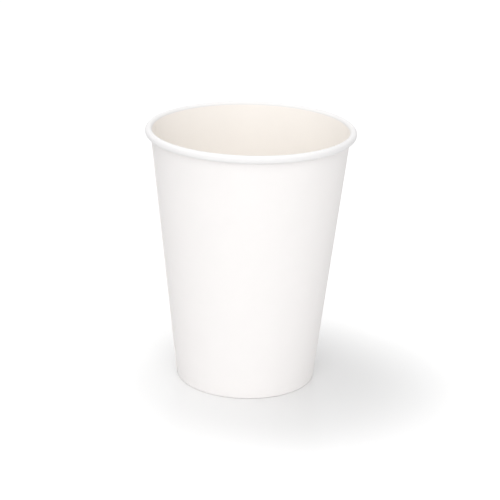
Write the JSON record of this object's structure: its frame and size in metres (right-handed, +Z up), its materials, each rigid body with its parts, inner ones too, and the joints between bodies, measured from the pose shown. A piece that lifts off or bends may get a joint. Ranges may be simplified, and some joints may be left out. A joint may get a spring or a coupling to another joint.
{
  "type": "paper coffee cup",
  "caption": "Plain single-wall paper cup for hot drinks, with a tapered side wall, a rolled rim and a raised base.",
  "frame": {"origin": "centre of the ring that the cup stands on", "axes": "+Z up along the cup's axis, from the foot to the rim"},
  "size_m": [0.09, 0.09, 0.1126],
  "materials": {
    "wall_board": "satin",
    "base_board": "satin"
  },
  "bodies": {
    "root": {"side_wall": "wall_board", "base_disc": "base_board"}
  },
  "joints": []
}
